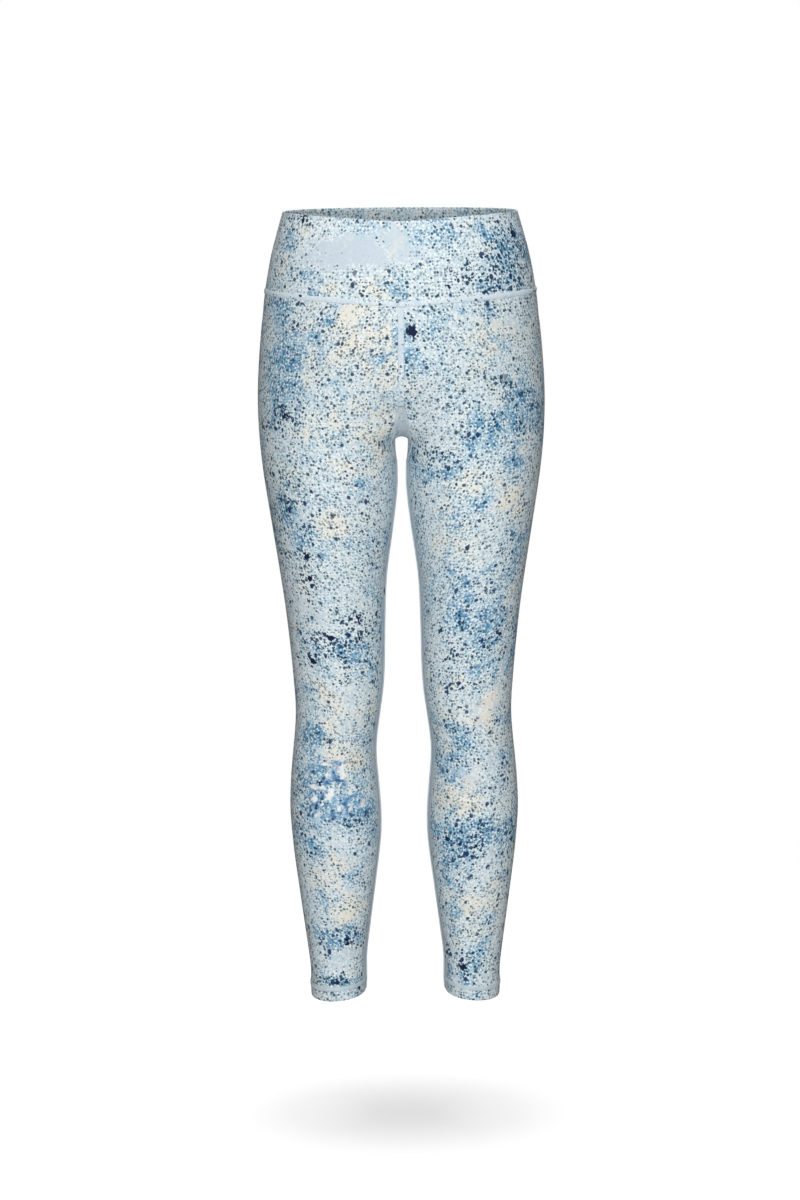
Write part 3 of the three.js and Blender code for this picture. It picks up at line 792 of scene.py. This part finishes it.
def makeGusset(name):
    size = gussetCloth
    levels = np.concatenate([
        np.arange(gussetTop, size["fineFrom"], size["rowStep"]),
        np.arange(size["fineFrom"], size["fineTo"], size["fineStep"]),
        np.linspace(size["fineTo"], gussetFoot, 9),
    ])
    points, faces, heights = [], [], []
    for mirrored in (False, True):
        for end in (0, 1):
            start = len(points)
            for level in levels:
                reach = gussetReach(level, end) - size["gap"] + form["seamGap"] / 2
                edge = partAlong(level, reach, bool(end))
                u = np.linspace(edge, 1, size["columns"]) if end else np.linspace(0, edge, size["columns"])
                points.extend(clothPoint(np.full(len(u), level), u, mirrored)[0])
                heights.extend([level] * len(u))
            quads = gridFaces(len(levels), size["columns"]) + start
            faces.extend((quads[:, ::-1] if mirrored else quads).tolist())
    points, level = np.array(points), np.array(heights)
    # the print on it is laid out flat from the lowest point of the crotch
    across = np.abs(points[:, 0]) + np.maximum(level - form["forkDrop"], 0)
    away = np.abs(points[:, 1] - forkY) + np.maximum(form["forkDrop"] - level, 0)
    away = away * np.sign(points[:, 1] - forkY) * size["uvStretch"]
    uv = np.stack([across * np.sign(points[:, 0]), away], 1)
    tones = tonesOf(points, np.zeros(len(points)), size["pale"])
    piece = makePiece(name, points, faces, gussetKnit, uv, tones)
    bpy.ops.object.select_all(action="DESELECT")
    piece.select_set(True)
    bpy.context.view_layer.objects.active = piece
    bpy.ops.object.mode_set(mode="EDIT")
    bpy.ops.mesh.select_all(action="SELECT")
    bpy.ops.mesh.remove_doubles(threshold=size["mergeWithin"] * mm)
    bpy.ops.object.mode_set(mode="OBJECT")
    thick = piece.modifiers.new("wall", "SOLIDIFY")
    thick.thickness = size["wall"] * mm
    thick.offset = -1
    bpy.ops.object.modifier_apply(modifier=thick.name)
    return piece


legs = {"left": makeLeg("leg_left_cloth", False), "right": makeLeg("leg_right_cloth", True)}
print("legs ready")
band = makeBand("waistband_cloth")
gussetPiece = makeGusset("gusset_cloth")
print("waistband and gusset ready")


# Seams. A path is a line of points on the cloth with the cloth's normals.
def evenly(points, normals, step, closed=False):
    if closed:
        points, normals = np.vstack([points, points[:1]]), np.vstack([normals, normals[:1]])
    way = np.concatenate([[0], np.cumsum(np.linalg.norm(np.diff(points, axis=0), axis=1))])
    count = max(3, int(round(way[-1] / step)))
    want = np.linspace(0, way[-1], count + 1)[:-1] if closed else np.linspace(0, way[-1], count + 1)
    points = np.stack([np.interp(want, way, points[:, k]) for k in range(3)], 1)
    normals = np.stack([np.interp(want, way, normals[:, k]) for k in range(3)], 1)
    return points, unit(normals)


def sidesOf(points, normals, closed):
    if closed:
        along = np.roll(points, -1, axis=0) - np.roll(points, 1, axis=0)
    else:
        along = np.gradient(points, axis=0)
    return unit(np.cross(unit(along), normals))


# A low ridge of cloth and thread along a path
def ridge(points, normals, closed, width, height, sink=0.45):
    side = sidesOf(points, normals, closed)
    angles = np.linspace(math.pi, 0, 9)
    profile = [
        (math.cos(a) * width / 2, math.sin(a) ** 0.8 * height if 0 < a < math.pi else 0) for a in angles
    ]
    profile += [(width * 0.42, -sink), (-width * 0.42, -sink)]
    rings = np.array([
        [p + s * across + n * up for across, up in profile] for p, s, n in zip(points, side, normals)
    ])
    count, around = rings.shape[:2]
    faces = gridFaces(count, around, closedRows=closed, closedColumns=True)[:, ::-1].tolist()
    if not closed:
        faces.append(list(range(around)))
        faces.append([(count - 1) * around + k for k in range(around)][::-1])
    return rings.reshape(-1, 3), faces


# Short bent lengths of thread between two rows of points
def threads(starts, ends, normals, lift, radius, bulge=0.0):
    stations = np.array([0, 0.18, 0.5, 0.82, 1.0])
    rises = np.array([-0.9, 0.55, 1.0, 0.55, -0.9]) * lift + np.array([0, 0.6, 1, 0.6, 0]) * bulge
    side = unit(np.cross(unit(ends - starts), normals))
    centre = starts[:, None] + (ends - starts)[:, None] * stations[None, :, None]
    centre = centre + normals[:, None] * rises[None, :, None]
    corners = [(1, 0), (0, 1), (-1, 0), (0, -1)]
    rings = np.stack([
        centre + side[:, None] * (a * radius) + normals[:, None] * (b * radius) for a, b in corners
    ], 2)
    count = len(starts)
    one = gridFaces(len(stations), 4, closedColumns=True)
    size = len(stations) * 4
    faces = (one[None] + (np.arange(count) * size)[:, None, None]).reshape(-1, 4)
    caps = np.array([[3, 2, 1, 0], [size - 4, size - 3, size - 2, size - 1]])
    caps = (caps[None] + (np.arange(count) * size)[:, None, None]).reshape(-1, 4)
    return rings.reshape(-1, 3), np.vstack([faces, caps]).tolist()


def joined(parts):
    points, faces, start = [], [], 0
    for somePoints, someFaces in parts:
        points.append(somePoints)
        faces.extend([[k + start for k in face] for face in someFaces])
        start += len(somePoints)
    return np.vstack(points), faces


# Stitches as shares of a seam's width, height, pitch and thread; steps, lifts in millimetres
stitching = {
    "ridgeStep": 2.4, "reach": 0.36, "top": 0.72, "seat": 0.55, "length": 0.8, "lift": 0.22,
    "crossLift": 0.1, "crossThread": 0.85, "crossBulge": 0.6,
}


def seamParts(points, normals, closed, look):
    parts = []
    ridgePoints, ridgeNormals = evenly(points, normals, stitching["ridgeStep"], closed)
    parts.append(ridge(ridgePoints, ridgeNormals, closed, look["width"], look["height"]))
    stitchPoints, stitchNormals = evenly(points, normals, look["pitch"], closed)
    reach = sidesOf(stitchPoints, stitchNormals, closed) * look["width"] * stitching["reach"]
    top = look["height"] * stitching["top"]
    seated = stitchPoints + stitchNormals * top * stitching["seat"]
    last = None if closed else -1
    stitchNormals = stitchNormals[:last]
    lines = []
    for row in (seated - reach, seated + reach):
        following = np.roll(row, -1, axis=0)[:last]
        row = row[:last]
        lines.append((row, following))
        end = row + (following - row) * stitching["length"]
        parts.append(threads(row, end, stitchNormals, stitching["lift"], look["thread"]))
    radius, bulge = look["thread"] * stitching["crossThread"], top * stitching["crossBulge"]
    starts, ends = lines[0][0], lines[1][1]
    parts.append(threads(starts, ends, stitchNormals, stitching["crossLift"], radius, bulge))
    return parts


# The print runs over the waist seam near the middle, and over the top of the centre seams. It fades out
# to a nearly plain strip over some millimetres.
printedFade, plainSeam = 40, 0.92
waistSeamLook = {
    "width": 5.6, "height": 1.1, "pitch": 2.6, "thread": 0.2, "printedWithin": 76, "printedPale": 0.62,
}
flatSeamLook = {
    "width": 6.4, "height": 0.5, "pitch": 2.4, "thread": 0.18, "printedBelow": 148, "printedPale": 0.42,
}
inseamLook = {"width": 5.4, "height": 1.2, "pitch": 2.6, "thread": 0.22}
gussetSeamLook = {"width": 4.2, "height": 0.6, "pitch": 2.4, "thread": 0.2}
hemLook = {"width": 5.0, "height": 0.5, "pitch": 2.3, "thread": 0.22, "above": 14.5}


def waistLine():
    u = np.linspace(0, 1, 240)
    left, leftNormals = clothPoint(seamDrop(u), u, False)
    right, rightNormals = clothPoint(seamDrop(u), u, True)
    points = np.vstack([left, right[1:-1][::-1]])
    return points, np.vstack([leftNormals, rightNormals[1:-1][::-1]])


def makeSeam(name, paths, look):
    parts = []
    for points, normals, closed in paths:
        parts.extend(seamParts(points, normals, closed, look))
    points, faces = joined(parts)
    if "printedBelow" in look:
        past = look["printedBelow"] + points[:, 2]
    elif "printedWithin" in look:
        past = np.abs(points[:, 0]) - look["printedWithin"]
    else:
        return makePiece(name, points, faces, seamThread)
    pale = look["printedPale"] + (plainSeam - look["printedPale"]) * smooth(past / printedFade + 0.5)
    tones = tonesOf(points, np.zeros(len(points)), pale)
    return makePiece(name, points, faces, printedKnit, points[:, [0, 2]], tones)


waistSeam = makeSeam("waist_seam", [(*waistLine(), True)], waistSeamLook)


def centreSeam(end, fromDrop, toDrop):
    drops = np.linspace(fromDrop, toDrop, 80)
    points, normals = clothPoint(drops, np.full(len(drops), float(end)), False)
    points[:, 0] = 0
    normals[:, 0] = 0
    return points, unit(normals)


frontWaist, backWaist = (float(seamDrop(np.array(end))) for end in (0.0, 1.0))
waistGap, gussetLap, topGap = 2.4, 5, 1.2
centrePaths = [
    centreSeam(0, frontWaist + waistGap, gussetTop + gussetLap),
    centreSeam(1, backWaist + waistGap, gussetTop + gussetLap),
    centreSeam(1, topGap, backWaist - waistGap),
]
centreSeams = makeSeam("centre_seams", [(*path, False) for path in centrePaths], flatSeamLook)


def gussetEdge(end, mirrored):
    drops = np.concatenate([np.linspace(gussetTop, 240, 24), np.linspace(241, gussetFoot, 30)])
    reaches = [max(0.2, gussetReach(d, end)) for d in drops]
    u = np.array([partAlong(d, r, bool(end)) for d, r in zip(drops, reaches)])
    return clothPoint(drops, u, mirrored)


gussetEdges = [(*gussetEdge(end, mirrored), False) for end in (0, 1) for mirrored in (False, True)]
gussetSeams = makeSeam("gusset_seams", gussetEdges, gussetSeamLook)


def inseam(mirrored):
    drops = np.linspace(gussetFoot - 2, form["hemDrop"] - 1.2, 260)
    front, frontNormals = clothPoint(drops, np.zeros(len(drops)), mirrored)
    back, backNormals = clothPoint(drops, np.ones(len(drops)), mirrored)
    return (front + back) / 2, unit(frontNormals + backNormals)


def hemLine(mirrored):
    u = np.linspace(0, 1, 160)[:-1]
    return clothPoint(np.full(len(u), form["hemDrop"] - hemLook["above"]), u, mirrored)


inseams, hems = {}, {}
for sideName, mirrored in (("left", False), ("right", True)):
    inseams[sideName] = makeSeam("inseam_" + sideName, [(*inseam(mirrored), False)], inseamLook)
    hems[sideName] = makeSeam("hem_stitching_" + sideName, [(*hemLine(mirrored), True)], hemLook)
print("seams ready")

pieces = [band, *legs.values(), gussetPiece, waistSeam, centreSeams, gussetSeams]
pieces += [*inseams.values(), *hems.values()]
for piece in pieces:
    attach(piece, "root")
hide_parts("waistband")
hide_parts("leg_left")
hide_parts("leg_right")
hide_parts("gusset")

# Floor, lights and camera, in metres
studio = {
    "floorDrop": 1.032, "floorRadius": 1.2, "floorGlow": 0.8, "ambient": 0.09,
    "shadowSize": (0.225, 0.16), "shadowDepth": 0.33,
    "cameraWay": 3.0, "cameraRise": 10.7, "cameraRoll": 0.42, "aim": (-0.003, 0.0, -0.4293), "lens": 80.9,
}
# place, point aimed at, size, watts
lamps = {
    "key": ((0.0, -3.4, 0.15), (0, 0, -0.45), (1.6, 1.8), 109),
    "back fill": ((0.0, 3.4, 0.4), (0, 0, -0.45), (1.6, 1.8), 80),
    "left fill": ((-3.2, 1.4, 0.2), (0, 0, -0.45), (0.9, 1.6), 8),
    "right fill": ((3.2, 1.4, 0.2), (0, 0, -0.45), (0.9, 1.6), 8),
    "overhead": ((0.0, 0.0, 1.6), (0, 0, -1.0), (0.5, 0.5), 12),
}


def makeFloor():
    s = Shader("pale floor")
    place = s.node("TexCoord").outputs["Object"]
    fade = s.soft(s.length(place), 0.35, studio["floorRadius"] * 0.97)
    # the soft pool of shade straight below the garment
    width, depth = studio["shadowSize"]
    pool = s.soft(s.length(s.stretch(place, (1 / width, 1 / depth, 0))), 0.0, 1.0, 1.0, 0.0)
    glow = s.minus(1.0, s.times(pool, studio["shadowDepth"]))
    s.feed(s.surface.inputs["Emission Strength"], s.times(glow, studio["floorGlow"]))
    s.surface.inputs["Emission Color"].default_value = (1, 1, 1, 1)
    base = s.mix(s.noise(place, 3, 2.0).outputs["Fac"], colour("#8c8c8c"), colour("#949494"))
    s.feed(s.surface.inputs["Base Color"], base)
    s.surface.inputs["Roughness"].default_value = 0.9
    clear = s.node("BsdfTransparent")
    blend = s.node("MixShader", {0: fade, 1: s.surface.outputs[0], 2: clear.outputs[0]})
    s.tree.links.new(blend.outputs[0], s.tree.nodes["Material Output"].inputs["Surface"])
    bpy.ops.object.select_all(action="DESELECT")
    bpy.ops.mesh.primitive_circle_add(vertices=128, radius=studio["floorRadius"], fill_type="NGON",
                                      location=(0, 0, -studio["floorDrop"]))
    floor = bpy.context.object
    floor.name = "floor"
    floor.data.materials.append(s.material)
    floor.visible_diffuse = False  # the floor throws no light up onto the cloth
    floor.visible_glossy = False


def addArea(name, location, target, size, power):
    data = bpy.data.lights.new(name, "AREA")
    data.shape = "RECTANGLE"
    data.size, data.size_y = size
    data.energy = power
    lamp = bpy.data.objects.new(name, data)
    lamp.location = location
    lamp.rotation_euler = (Vector(target) - Vector(location)).to_track_quat("-Z", "Y").to_euler()
    bpy.context.scene.collection.objects.link(lamp)


def makeWorld():
    world = bpy.data.worlds.new("white studio")
    bpy.context.scene.world = world
    world.use_nodes = True
    nodes, links = world.node_tree.nodes, world.node_tree.links
    sky = nodes["Background"]
    sky.inputs["Color"].default_value = (1, 1, 1, 1)
    sky.inputs["Strength"].default_value = studio["ambient"]
    # the camera sees plain white
    seen = nodes.new("ShaderNodeBackground")
    seen.inputs["Color"].default_value = (1, 1, 1, 1)
    ray = nodes.new("ShaderNodeLightPath")
    blend = nodes.new("ShaderNodeMixShader")
    links.new(ray.outputs["Is Camera Ray"], blend.inputs[0])
    links.new(sky.outputs[0], blend.inputs[1])
    links.new(seen.outputs[0], blend.inputs[2])
    links.new(blend.outputs[0], nodes["World Output"].inputs["Surface"])


makeFloor()
makeWorld()
for name, (location, target, size, power) in lamps.items():
    addArea(name, location, target, size, power)

cameraData = bpy.data.cameras.new("camera")
cameraData.lens = studio["lens"]
cameraData.sensor_width = 36
camera = bpy.data.objects.new("camera", cameraData)
rise = math.radians(studio["cameraRise"])
aim = Vector(studio["aim"])
camera.location = aim + Vector((0, -math.cos(rise), math.sin(rise))) * studio["cameraWay"]
look = (aim - camera.location).to_track_quat("-Z", "Y")
camera.rotation_euler = (look @ Quaternion((0, 0, 1), -math.radians(studio["cameraRoll"]))).to_euler()
bpy.context.scene.collection.objects.link(camera)
bpy.context.scene.camera = camera
bpy.context.scene.view_settings.view_transform = "Standard"
print("studio ready")
